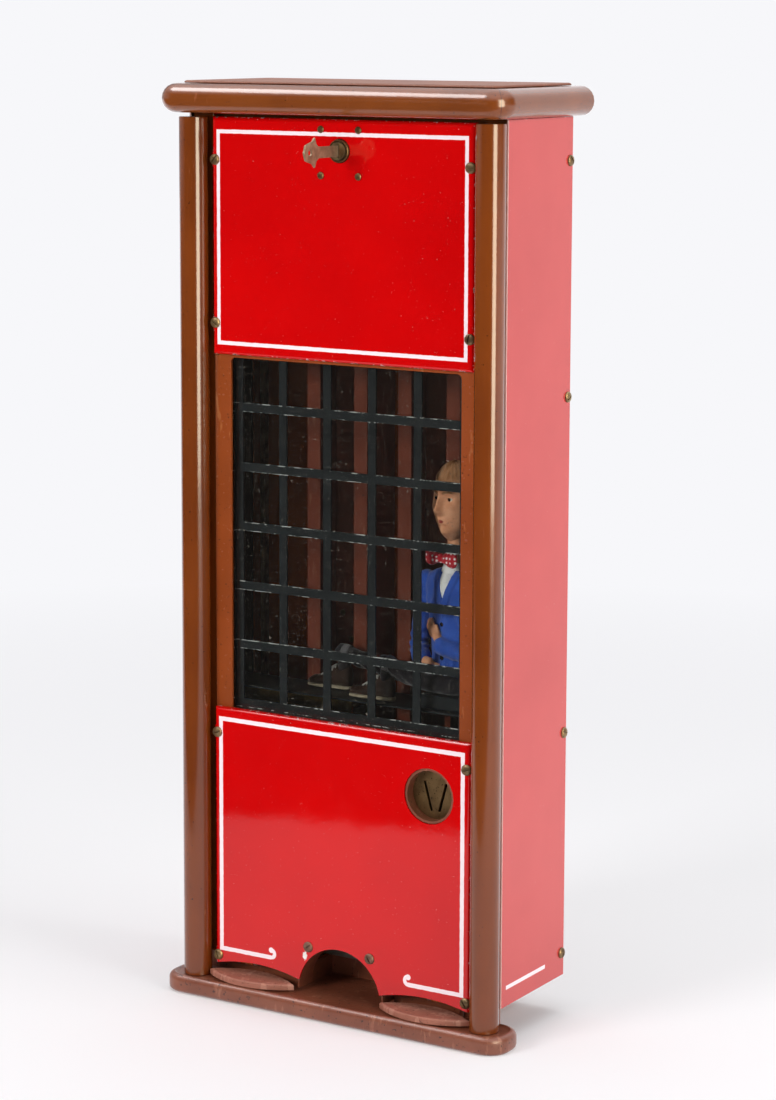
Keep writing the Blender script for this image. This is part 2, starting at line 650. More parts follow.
def gear_outline(teeth, module, centre, phase):
    """Return an involute gear's outline, with a tooth centred at the angle phase."""
    pitch_radius = teeth * module / 2
    base_radius = pitch_radius * math.cos(PRESSURE_ANGLE)
    tip_radius = pitch_radius + ADDENDUM_SHARE * module
    root_radius = pitch_radius - DEDENDUM_SHARE * module
    half_tooth = (math.pi * module / 2 - BACKLASH) / 2 / pitch_radius
    involute_at_pitch = math.tan(PRESSURE_ANGLE) - PRESSURE_ANGLE
    flank = []
    start = max(base_radius, root_radius)
    steps = 1 if teeth > FINE_TEETH else 2
    for step in range(steps + 1):
        radius = start + (tip_radius - start) * step / steps
        roll = math.acos(min(1.0, base_radius / radius))
        flank.append((radius, half_tooth + involute_at_pitch - (math.tan(roll) - roll)))
    if root_radius < base_radius:
        flank.insert(0, (root_radius, flank[0][1]))
    outline = []
    for tooth in range(teeth):
        middle = phase + 2 * math.pi * tooth / teeth
        rising = [(radius, middle - angle) for radius, angle in flank]
        falling = [(radius, middle + angle) for radius, angle in reversed(flank)]
        for radius, angle in rising + falling:
            outline.append((centre[0] + radius * math.cos(angle), centre[1] + radius * math.sin(angle)))
    return outline


def sill_ring(inset, z):
    """Return the sill's plan outline, drawn in by inset, at height z."""
    return rounded_plan(SILL_WIDTH / 2 - inset, SILL_FRONT_Y + inset, SILL_FRONT_Y + SILL_DEPTH - inset,
                        SILL_CORNER_RADIUS - inset, SILL_CORNER_RADIUS - inset, z)


def rounded_plan(half_width, front_y, back_y, front_radius, back_radius, z, steps=6):
    """Return a rectangle with round corners at height z; a zero back radius keeps square corners."""
    ring = []
    corners = (
        (1, front_y + front_radius, front_radius, -QUARTER_TURN),
        (1, back_y - back_radius, back_radius, 0.0),
        (-1, back_y - back_radius, back_radius, QUARTER_TURN),
        (-1, front_y + front_radius, front_radius, 2 * QUARTER_TURN),
    )
    for side, y, radius, start in corners:
        centre = (side * (half_width - radius), y)
        if radius > 0:
            corner = arc(centre, radius, start, start + QUARTER_TURN, steps)
        else:
            corner = [centre]
        ring.extend((px, py, z) for px, py in corner)
    return ring


def lens_ring(centre_x, centre_y, length, sag, z, steps=12):
    """Return a pointed lens outline between two equal arcs."""
    radius = (length * length / 4 + sag * sag) / (2 * sag)
    reach = math.asin(length / 2 / radius)
    front = arc((centre_x, centre_y + radius - sag), radius, -math.pi / 2 - reach, -math.pi / 2 + reach, steps)
    back = arc((centre_x, centre_y - radius + sag), radius, math.pi / 2 - reach, math.pi / 2 + reach, steps)
    return [(x, y, z) for x, y in front[:-1] + back[:-1]]


def build_base():
    """Cast base: sill with a raised rim, tongue, delivery tray and hollow underside."""
    rings = []
    for step in range(4):
        angle = QUARTER_TURN * step / 3
        inset = SILL_FOOT_FILLET * (1 - math.sin(angle))
        rings.append(sill_ring(inset, SILL_FOOT_FILLET * (1 - math.cos(angle))))
    for step in range(6):
        angle = QUARTER_TURN * step / 5
        inset = SILL_CREST_RADIUS * (1 - math.cos(angle))
        rings.append(sill_ring(inset, SILL_HEIGHT - SILL_CREST_RADIUS * (1 - math.sin(angle))))
    rings.append(sill_ring(SILL_RIM_WIDTH, SILL_FLOOR_Z))
    sill = loft(rings)
    half = TONGUE_WIDTH / 2
    tongue = box((-half, FACE_Y + TONGUE_FRONT, 0.0), (half, FACE_Y + TONGUE_BACK, TONGUE_TOP_Z))
    casting = join(sill, tongue)
    tray = box((-HOOD_ROOM_RADIUS, FACE_Y + TRAY_START, SILL_FLOOR_Z),
               (HOOD_ROOM_RADIUS, FACE_Y + TRAY_DEPTH, TONGUE_TOP_Z + CUT_OVERRUN))
    pockets = []
    for side in (-1, 1):
        inner = side * (HOOD_ROOM_RADIUS + POCKET_WALL)
        outer = side * (half - POCKET_WALL)
        low = (min(inner, outer), FACE_Y + TONGUE_FRONT + POCKET_WALL, -CUT_OVERRUN)
        high = (max(inner, outer), FACE_Y + TONGUE_BACK - POCKET_WALL, TONGUE_TOP_Z - POCKET_WALL)
        pockets.append(box(low, high))
    add_object("base_casting", cut(casting, tray, *pockets), "base_enamel")


def build_hinge_covers():
    """Leaf-shaped covers lying on the sill."""
    low_z = SILL_HEIGHT + SEAT_GAP
    high_z = low_z + COVER_THICKNESS
    inner_x = ARCH_RADIUS + COVER_INNER_GAP
    outer_x = COLUMN_SPACING / 2 - COLUMN_RADIUS - COVER_OUTER_GAP
    for side, name in ((-1, "hinge_cover_left"), (1, "hinge_cover_right")):
        x = side * (inner_x + outer_x) / 2
        y = FACE_Y - COVER_FORWARD
        steps = ((0.0, low_z), (0.0, high_z - COVER_EDGE), (COVER_EDGE / 3, high_z - COVER_EDGE / 3),
                 (COVER_EDGE, high_z))
        rings = []
        for inset, z in steps:
            length = (outer_x - inner_x) * (1 - inset / COVER_SAG)
            rings.append(lens_ring(x, y, length, COVER_SAG - inset, z))
        add_object(name, loft(rings), "cover_enamel")


def build_columns():
    """Round columns on the sill, and the angle posts behind them."""
    for side, word in ((-1, "left"), (1, "right")):
        x = side * COLUMN_SPACING / 2
        column = rod_z(x, COLUMN_Y, COLUMN_RADIUS, SILL_FLOOR_Z + SEAT_GAP, CAP_UNDER_Z - COLUMN_TOP_GAP)
        add_object(f"column_{word}", column, "brown_enamel")
        outer = side * (SIDE_INNER_X - SEAT_GAP)
        inner = outer - side * POST_LEG
        web = outer - side * POST_SHEET
        back_y = POST_FRONT_Y + POST_LEG
        fold_y = POST_FRONT_Y + POST_SHEET
        outline = [(inner, POST_FRONT_Y), (outer, POST_FRONT_Y), (outer, back_y), (web, back_y),
                   (web, fold_y), (inner, fold_y)]
        add_object(f"corner_post_{word}", extrude_z(outline, WALL_BOTTOM_Z, WALL_TOP_Z), "brown_enamel")


def build_cabinet():
    """Side panels, back panel, floor plate and the tapped strips that hold the sides."""
    chord_x = SIDE_INNER_X - COLUMN_SPACING / 2
    front_y = COLUMN_Y + math.sqrt(COLUMN_RADIUS ** 2 - chord_x ** 2) + 2 * SEAT_GAP
    screw_y = BODY_BACK_Y - SIDE_SCREW_EDGE
    strip_front_y = screw_y - SIDE_STRIP_DEPTH / 2
    strip_back_y = min(screw_y + SIDE_STRIP_DEPTH / 2, BODY_BACK_Y - SIDE_SHEET - SEAT_GAP)
    flange_outer_x = SIDE_INNER_X - SEAT_GAP
    flange_inner_x = flange_outer_x - SIDE_SHEET
    half = flange_outer_x
    back = box((-half, BODY_BACK_Y - BACK_FLANGE, WALL_BOTTOM_Z), (half, BODY_BACK_Y, WALL_TOP_Z))
    hollow = box((-flange_inner_x, BODY_BACK_Y - BACK_FLANGE - CUT_OVERRUN, WALL_BOTTOM_Z - CUT_OVERRUN),
                 (flange_inner_x, BODY_BACK_Y - SIDE_SHEET, WALL_TOP_Z + CUT_OVERRUN))
    drills = [rod_x(screw_y, z, SCREW_HOLE_RADIUS, -BODY_WIDTH, BODY_WIDTH) for z in SIDE_SCREWS_Z]
    add_object("back_panel", cut(cut(back, hollow), *drills), "brown_enamel")
    for side, word in ((-1, "left"), (1, "right")):
        inner, outer = side * SIDE_INNER_X, side * BODY_WIDTH / 2
        panel = box((min(inner, outer), front_y, BODY_BOTTOM_Z), (max(inner, outer), BODY_BACK_Y, WALL_TOP_Z))
        drills = [rod_x(screw_y, z, SCREW_HOLE_RADIUS, -BODY_WIDTH, BODY_WIDTH) for z in SIDE_SCREWS_Z]
        add_object(f"side_panel_{word}", cut(panel, *drills), "red_enamel")
        strip_outer_x = flange_inner_x - SEAT_GAP
        near = side * (strip_outer_x - SIDE_STRIP_THICKNESS)
        far = side * strip_outer_x
        low_z = min(SIDE_SCREWS_Z) - SIDE_STRIP_OVERHANG
        high_z = max(SIDE_SCREWS_Z) + SIDE_STRIP_OVERHANG
        strip = box((min(near, far), strip_front_y, low_z), (max(near, far), strip_back_y, high_z))
        head_x = side * (BODY_WIDTH / 2 + SEAT_GAP)
        for z in SIDE_SCREWS_Z:
            shank_ends = sorted((side * (strip_outer_x - SIDE_STRIP_THICKNESS / 2), head_x))
            shank = rod_x(screw_y, z, SCREW_SHANK_RADIUS, *shank_ends)
            head = dome_head((head_x, screw_y, z), (side, 0, 0), SCREW_HEAD_RADIUS, SCREW_HEAD_HEIGHT)
            strip = join(strip, join(shank, head))
        add_object(f"side_screw_strip_{word}", strip, "aged_brass")
    plate = box((-half, POST_FRONT_Y, BODY_BOTTOM_Z), (half, BODY_BACK_Y, FLOOR_TOP_Z))
    notch = box((-HOOD_ROOM_RADIUS, POST_FRONT_Y - CUT_OVERRUN, BODY_BOTTOM_Z - CUT_OVERRUN),
                (HOOD_ROOM_RADIUS, FACE_Y + TRAY_DEPTH, FLOOR_TOP_Z + CUT_OVERRUN))
    strips = []
    for side in (-1, 1):
        strips.append(strip_room(side, STRIP_SWING_ROOM, BODY_BOTTOM_Z - CUT_OVERRUN,
                                 FLOOR_TOP_Z + CUT_OVERRUN))
    add_object("floor_plate", cut(plate, notch, *strips), "brown_enamel")


def cap_ring(inset, z):
    """Return the cap's plan outline, drawn in by inset at the front and sides only."""
    return rounded_plan(CAP_WIDTH / 2 - inset, CAP_FRONT_Y + inset, CAP_DEPTH / 2,
                        CAP_CORNER_RADIUS - inset, 0.0, z)


def build_cap():
    """Cap moulding with a half-round nose, and the low plate on top of it."""
    nose = CAP_THICKNESS / 2
    middle_z = CAP_TOP_Z - nose
    steps = 10
    rings = []
    for step in range(steps + 1):
        angle = math.pi * (step / steps - 0.5)
        rings.append(cap_ring(nose * (1 - math.cos(angle)), middle_z + nose * math.sin(angle)))
    inner = CAP_WIDTH / 2 - CAP_RIM_WIDTH
    hollow = box((-inner, CAP_FRONT_Y + CAP_FRONT_RIM_WIDTH, CAP_UNDER_Z - CUT_OVERRUN),
                 (inner, CAP_DEPTH / 2 - CAP_RIM_WIDTH, CAP_TOP_Z - CAP_SKIN))
    add_object("cap_moulding", cut(loft(rings), hollow), "brown_enamel")
    low_z = CAP_TOP_Z + SEAT_GAP
    half = CAP_WIDTH / 2 - CAP_PLATE_MARGIN
    front_y, back_y = CAP_FRONT_Y + CAP_PLATE_MARGIN, CAP_DEPTH / 2 - CAP_PLATE_CORNER
    rings = []
    for inset, z in ((0.0, low_z), (0.0, low_z + CAP_PLATE_THICKNESS / 2),
                     (CAP_PLATE_THICKNESS / 2, low_z + CAP_PLATE_THICKNESS)):
        rings.append(rounded_plan(half - inset, front_y + inset, back_y - inset,
                                  CAP_PLATE_CORNER, CAP_PLATE_CORNER, z, steps=3))
    add_object("cap_plate", loft(rings), "brown_enamel")


def build_keeper():
    """Angle rail under the cap that the lock cam turns up behind."""
    half = SIDE_INNER_X - SEAT_GAP - POST_SHEET - SEAT_GAP
    back_y = KEEPER_FRONT_Y + KEEPER_LEG
    inner_y = KEEPER_FRONT_Y + KEEPER_SHEET
    outline = [(KEEPER_FRONT_Y, WALL_TOP_Z - KEEPER_DROP), (inner_y, WALL_TOP_Z - KEEPER_DROP),
               (inner_y, WALL_TOP_Z - KEEPER_SHEET), (back_y, WALL_TOP_Z - KEEPER_SHEET),
               (back_y, WALL_TOP_Z), (KEEPER_FRONT_Y, WALL_TOP_Z)]
    add_object("keeper_rail", extrude_x(outline, -half, half), "brown_enamel")


def window_outline():
    """Return the window opening as (x, z) points, with round top corners."""
    half = WINDOW_WIDTH / 2
    right = arc((half - WINDOW_CORNER, WINDOW_TOP_Z - WINDOW_CORNER), WINDOW_CORNER, 0.0, math.pi / 2, 4)
    left = [(-x, z) for x, z in reversed(right)]
    return [(-half, WINDOW_BOTTOM_Z), (half, WINDOW_BOTTOM_Z)] + right + left


def screw_drills(heights, front_y, back_y):
    """Return clearance drills for the panel screws at the given heights."""
    places = [(side * SCREW_SPACING / 2, z) for side in (-1, 1) for z in heights]
    return [rod_y(x, z, SCREW_HOLE_RADIUS, front_y, back_y, SMALL_SIDES) for x, z in places]


def lock_drills(front_y, back_y):
    """Return the cutters for the lock housing and its four rivets."""
    places = [(side * RIVET_SPACING_X / 2, z) for side in (-1, 1) for z in RIVETS_Z]
    drills = [rod_y(x, z, RIVET_SHANK_RADIUS + SEAT_GAP, front_y, back_y, SMALL_SIDES) for x, z in places]
    return drills + [rod_y(0.0, LOCK_Z, LOCK_HOLE_RADIUS, front_y, back_y)]


def arch_outline(radius, foot_z):
    """Return a round-headed arch of the given radius that stands on foot_z."""
    if foot_z < ARCH_CENTRE_Z:
        return [(-radius, foot_z), (radius, foot_z)] + arc((0.0, ARCH_CENTRE_Z), radius, 0.0, math.pi, 24)
    start = math.asin((foot_z - ARCH_CENTRE_Z) / radius)
    return arc((0.0, ARCH_CENTRE_Z), radius, start, math.pi - start, 24)


def strip_room(side, margin, low_z, high_z):
    """Return the block taken up by a tapped screw strip, grown by margin in plan."""
    outer = DOOR_WIDTH / 2 - DOOR_SHEET - SEAT_GAP + margin
    inner = outer - STRIP_WIDTH - 2 * margin
    front_y = FRAME_BACK_Y + SEAT_GAP - margin
    back_y = front_y + STRIP_THICKNESS + 2 * margin
    span = sorted((side * inner, side * outer))
    return box((span[0], front_y, low_z), (span[1], back_y, high_z))


def build_door_frame(hinge):
    """Pressed door frame with turned edges and two hinge knuckles."""
    half = DOOR_WIDTH / 2
    back_y = FRAME_FRONT_Y + DOOR_DEPTH
    blank = box((-half, FRAME_FRONT_Y, DOOR_BOTTOM_Z), (half, back_y, DOOR_TOP_Z))
    hollow = box((-half + DOOR_SHEET, FRAME_BACK_Y, DOOR_BOTTOM_Z + DOOR_SHEET),
                 (half - DOOR_SHEET, back_y + CUT_OVERRUN, DOOR_TOP_Z - DOOR_SHEET))
    frame = cut(blank, hollow)
    front, rear = FRAME_FRONT_Y - CUT_OVERRUN, FRAME_BACK_Y + CUT_OVERRUN
    coin_hole = rod_y(COIN_X, COIN_Z, COIN_HOLE_RADIUS, front, rear)
    drills = screw_drills(UPPER_SCREWS_Z + LOWER_SCREWS_Z[:1], front, rear)
    frame = cut(frame, extrude_y(window_outline(), front, rear), coin_hole, *lock_drills(front, rear), *drills)
    notch = extrude_y(arch_outline(HOOD_ROOM_RADIUS, DOOR_BOTTOM_Z - CUT_OVERRUN), front, back_y + CUT_OVERRUN)
    slots = [strip_room(side, SEAT_GAP, DOOR_BOTTOM_Z - CUT_OVERRUN, DOOR_BOTTOM_Z + 2 * DOOR_SHEET)
             for side in (-1, 1)]
    frame = cut(frame, notch, *slots)
    for side in (-1, 1):
        left = side * HINGE_SPACING / 2 - KNUCKLE_LENGTH / 2
        right = left + KNUCKLE_LENGTH
        strap = box((left, FRAME_FRONT_Y, HINGE_Z), (right, FRAME_BACK_Y, DOOR_BOTTOM_Z + DOOR_SHEET))
        knuckle = join(rod_x(HINGE_Y, HINGE_Z, KNUCKLE_RADIUS, left, right), strap)
        bore = rod_x(HINGE_Y, HINGE_Z, BORE_RADIUS, left - CUT_OVERRUN, right + CUT_OVERRUN)
        frame = join(frame, cut(knuckle, bore))
    add_object("door_frame", frame, "door_enamel", hinge)


def build_hinge_brackets():
    """Brackets on the cabinet floor, each with two ears and a pin through the door's knuckle."""
    foot_top_z = WALL_BOTTOM_Z + FLOOR_SHEET
    arm_top_z = WALL_BOTTOM_Z + EAR_HEIGHT
    back_y = FACE_Y + BRACKET_BACK
    for side, word in ((-1, "left"), (1, "right")):
        middle = side * HINGE_SPACING / 2
        inner = KNUCKLE_LENGTH / 2 + 2 * SEAT_GAP
        outer = inner + EAR_SHEET
        nose = arc((HINGE_Y, HINGE_Z), EAR_NOSE_RADIUS, 3 * QUARTER_TURN / 2, 4 * QUARTER_TURN, 10)
        ear_outline = nose + [(HINGE_Y + EAR_NOSE_RADIUS, WALL_BOTTOM_Z), (back_y, WALL_BOTTOM_Z),
                              (back_y, arm_top_z), (HINGE_Y, arm_top_z)]
        ears = [extrude_x(ear_outline, middle + near, middle + far)
                for near, far in ((-outer, -inner), (inner, outer))]
        foot = box((middle - inner - EAR_SHEET / 2, POST_FRONT_Y + EAR_SHEET, WALL_BOTTOM_Z),
                   (middle + inner + EAR_SHEET / 2, back_y - EAR_SHEET / 2, foot_top_z))
        pin = rod_x(HINGE_Y, HINGE_Z, PIN_RADIUS, middle - outer - SEAT_GAP, middle + outer + SEAT_GAP)
        add_object(f"hinge_bracket_{word}", join(foot, *ears, pin), "steel")


def pan(low_z, high_z, open_bottom, heights):
    """Return an enamelled pan with turned edges, notched and drilled at its screws."""
    half = PANEL_WIDTH / 2
    blank = box((-half, FACE_Y, low_z), (half, FACE_Y + PANEL_DEPTH, high_z))
    hollow_low_z = low_z - CUT_OVERRUN if open_bottom else low_z + PANEL_SHEET
    hollow = box((-half + PANEL_SHEET, PANEL_BACK_Y, hollow_low_z),
                 (half - PANEL_SHEET, FACE_Y + PANEL_DEPTH + CUT_OVERRUN, high_z - PANEL_SHEET))
    shape = cut(blank, hollow)
    notches = []
    for side in (-1, 1):
        for z in heights:
            inner = side * (half - 2 * PANEL_SHEET)
            outer = side * (half + CUT_OVERRUN)
            notches.append(box((min(inner, outer), PANEL_BACK_Y, z - SCREW_NOTCH / 2),
                               (max(inner, outer), FACE_Y + PANEL_DEPTH + CUT_OVERRUN, z + SCREW_NOTCH / 2)))
    return cut(shape, *notches)


def lower_foot_outline():
    """Return the shape cut from the lower panel's foot: two shallow leaf arches and the delivery arch."""
    half = PANEL_WIDTH / 2
    arch_reach = math.sqrt(ARCH_RADIUS ** 2 - (LOWER_FOOT_Z - ARCH_CENTRE_Z) ** 2)
    start_x = arch_reach + PANEL_SHEET
    chord = half - start_x
    radius = (chord * chord / 4 + LEAF_ARCH_RISE ** 2) / (2 * LEAF_ARCH_RISE)
    centre = (start_x + chord / 2, LOWER_FOOT_Z + LEAF_ARCH_RISE - radius)
    reach = math.asin(chord / 2 / radius)
    leaf = arc(centre, radius, math.pi / 2 - reach, math.pi / 2 + reach, 12)
    arch_start = math.asin((LOWER_FOOT_Z - ARCH_CENTRE_Z) / ARCH_RADIUS)
    arch = arc((0.0, ARCH_CENTRE_Z), ARCH_RADIUS, arch_start, math.pi - arch_start, 24)
    mirrored = [(-x, z) for x, z in reversed(leaf)]
    low_z = LOWER_FOOT_Z - 2 * CUT_OVERRUN
    far = half + CUT_OVERRUN
    return [(far, low_z), (far, LOWER_FOOT_Z)] + leaf + arch + mirrored + [(-far, LOWER_FOOT_Z), (-far, low_z)]


def build_panels(hinge):
    """Upper and lower enamelled panels."""
    front, rear = FACE_Y - CUT_OVERRUN, FACE_Y + PANEL_DEPTH + CUT_OVERRUN
    upper = pan(UPPER_BOTTOM_Z, UPPER_TOP_Z, False, UPPER_SCREWS_Z)
    upper = cut(upper, *screw_drills(UPPER_SCREWS_Z, front, rear), *lock_drills(front, rear))
    add_object("upper_panel", upper, "red_enamel", hinge)
    lower = pan(LOWER_FOOT_Z - CUT_OVERRUN, LOWER_TOP_Z, True, LOWER_SCREWS_Z)
    lower = cut(lower, extrude_y(lower_foot_outline(), front, rear))
    coin_hole = rod_y(COIN_X, COIN_Z, COIN_HOLE_RADIUS, front, rear)
    hood_holes = [rod_y(side * HOOD_SCREW_SPACING / 2, HOOD_SCREW_Z, SCREW_HOLE_RADIUS, front, rear, SMALL_SIDES)
                  for side in (-1, 1)]
    lower = cut(lower, coin_hole, *hood_holes, *screw_drills(LOWER_SCREWS_Z, front, rear))
    add_object("lower_panel", lower, "red_enamel", hinge)


def build_screw_strips(hinge):
    """Tapped brass strips behind the stiles, each with the four domed screws of its side."""
    low_z = min(LOWER_SCREWS_Z) - STRIP_OVERHANG
    high_z = max(UPPER_SCREWS_Z) + STRIP_OVERHANG
    head_y = FACE_Y - SEAT_GAP
    tip_y = FRAME_BACK_Y + SEAT_GAP + STRIP_THICKNESS / 2
    for side, word in ((-1, "left"), (1, "right")):
        x = side * SCREW_SPACING / 2
        strip = strip_room(side, 0.0, low_z, high_z)
        for z in UPPER_SCREWS_Z + LOWER_SCREWS_Z:
            shank = rod_y(x, z, SCREW_SHANK_RADIUS, head_y, tip_y, SMALL_SIDES)
            head = dome_head((x, head_y, z), (0, -1, 0), SCREW_HEAD_RADIUS, SCREW_HEAD_HEIGHT)
            strip = join(strip, join(shank, head))
        add_object(f"screw_strip_{word}", strip, "aged_brass", hinge)


def build_window(hinge):
    """Window glass, and the lattice grille that holds it from behind."""
    half = GLASS_WIDTH / 2
    low_z, high_z = WINDOW_BOTTOM_Z - GLASS_LAP, WINDOW_TOP_Z + GLASS_LAP
    glass = box((-half, GLASS_FRONT_Y, low_z), (half, GLASS_BACK_Y, high_z))
    add_object("window_glass", glass, "clear_glass", hinge)
    front_y = GLASS_BACK_Y + SEAT_GAP
    back_y = front_y + GRILLE_DEPTH
    sheet_y = back_y - GRILLE_SHEET
    first_opening_z = GRILLE_FIRST_BAR_Z + GRILLE_BAR / 2
    half = GRILLE_COLUMNS * GRILLE_COLUMN_PITCH / 2 - GRILLE_BAR / 2 + GRILLE_BORDER
    low_z = first_opening_z - GRILLE_BORDER - GRILLE_BAR / 2
    high_z = first_opening_z + GRILLE_ROWS * GRILLE_ROW_PITCH - GRILLE_BAR + GRILLE_BORDER
    plate = box((-half, front_y, low_z), (half, back_y, high_z))
    pocket = box((-half + GRILLE_RIM, front_y - CUT_OVERRUN, low_z + GRILLE_RIM),
                 (half - GRILLE_RIM, sheet_y, high_z - GRILLE_RIM))
    openings = []
    for column in range(GRILLE_COLUMNS):
        x = (column - (GRILLE_COLUMNS - 1) / 2) * GRILLE_COLUMN_PITCH
        width = GRILLE_COLUMN_PITCH - GRILLE_BAR
        for row in range(GRILLE_ROWS):
            z = first_opening_z + row * GRILLE_ROW_PITCH
            openings.append(box((x - width / 2, front_y - CUT_OVERRUN, z),
                                (x + width / 2, back_y + CUT_OVERRUN, z + GRILLE_ROW_PITCH - GRILLE_BAR)))
    add_object("window_grille", cut(cut(plate, pocket), *openings), "black_paint", hinge)


def build_lock(hinge):
    """Riveted lock body, turning plug with its key, and the cam on the back of the plug."""
    plate_front_y = FRAME_BACK_Y + SEAT_GAP
    plate_middle_z = sum(RIVETS_Z) / 2
    half = LOCK_PLATE_SIZE / 2
    plate = box((-half, plate_front_y, plate_middle_z - half),
                (half, plate_front_y + LOCK_PLATE_THICKNESS, plate_middle_z + half))
    top_trim = box((-LOCK_PLATE_SIZE, plate_front_y - CUT_OVERRUN, DOOR_TOP_Z - DOOR_SHEET - SEAT_GAP),
                   (LOCK_PLATE_SIZE, plate_front_y + LOCK_PLATE_SIZE, CAP_TOP_Z))
    plate = cut(plate, top_trim)
    housing = rod_y(0.0, LOCK_Z, LOCK_HOUSING_RADIUS, FACE_Y - LOCK_PROUD, FACE_Y + LOCK_BODY_BACK)
    body = join(plate, housing)
    head_y = FACE_Y - SEAT_GAP
    for side in (-1, 1):
        for z in RIVETS_Z:
            x = side * RIVET_SPACING_X / 2
            shank = rod_y(x, z, RIVET_SHANK_RADIUS, head_y, plate_front_y + LOCK_PLATE_THICKNESS / 2,
                          SMALL_SIDES)
            head = dome_head((x, head_y, z), (0, -1, 0), RIVET_HEAD_RADIUS, RIVET_HEAD_HEIGHT)
            body = join(body, join(shank, head))
    bore = rod_y(0.0, LOCK_Z, LOCK_PLUG_RADIUS + SEAT_GAP, FACE_Y - LOCK_PROUD - CUT_OVERRUN,
                 FACE_Y + LOCK_BODY_BACK + CUT_OVERRUN)
    add_object("lock_body", cut(body, bore), "aged_brass", hinge)
    turn = axis_empty("lock_axis", (0.0, FACE_Y, LOCK_Z), hinge)
    plug_front_y = FACE_Y - PLUG_PROUD
    plug = rod_y(0.0, LOCK_Z, LOCK_PLUG_RADIUS, plug_front_y, FACE_Y + PLUG_BACK)
    keyway = box((-KEY_THICKNESS / 2 - SEAT_GAP, plug_front_y - CUT_OVERRUN,
                  LOCK_Z - KEY_SHANK_HEIGHT / 2 - SEAT_GAP),
                 (KEY_THICKNESS / 2 + SEAT_GAP, plug_front_y + KEY_BLADE_LENGTH + 2 * SEAT_GAP,
                  LOCK_Z + KEY_SHANK_HEIGHT / 2 + SEAT_GAP))
    add_object("lock_plug", cut(plug, keyway), "polished_brass", turn)
    add_object("door_key", key_shape(plug_front_y), "steel", turn)
    cam_y = FACE_Y + PLUG_BACK + SEAT_GAP
    outline = arc((0.0, LOCK_Z), CAM_WIDTH / 2, math.pi / 2, math.pi * 1.5, 8)
    outline += [(CAM_LENGTH, LOCK_Z - CAM_WIDTH / 2), (CAM_LENGTH, LOCK_Z + CAM_WIDTH / 2)]
    add_object("lock_cam", extrude_y(outline, cam_y, cam_y + CAM_THICKNESS), "steel", turn)


def key_shape(plug_front_y):
    """Return the flat key: blade in the plug, shank, and a pointed trefoil bow with a hole."""
    shank_front_y = plug_front_y - KEY_SHANK_LENGTH
    bow_y = shank_front_y - KEY_BOW_LENGTH / 2
    low, high = LOCK_Z - KEY_SHANK_HEIGHT / 2, LOCK_Z + KEY_SHANK_HEIGHT / 2
    half = KEY_THICKNESS / 2
    blade = box((-half, shank_front_y - KEY_BOW_LENGTH / 4, low),
                (half, plug_front_y + KEY_BLADE_LENGTH, high))
    reach, rise = KEY_BOW_LENGTH / 2, KEY_BOW_HEIGHT / 2
    upper = [(bow_y + along * reach, LOCK_Z + up * rise) for along, up in KEY_BOW_SHARES]
    lower = [(y, 2 * LOCK_Z - z) for y, z in reversed(upper[:-1])]
    bow = extrude_x(upper + lower, -half, half)
    hole = rod_x(bow_y - KEY_HOLE_RADIUS, LOCK_Z, KEY_HOLE_RADIUS, -KEY_BOW_LENGTH, KEY_BOW_LENGTH)
    return cut(join(blade, bow), hole)


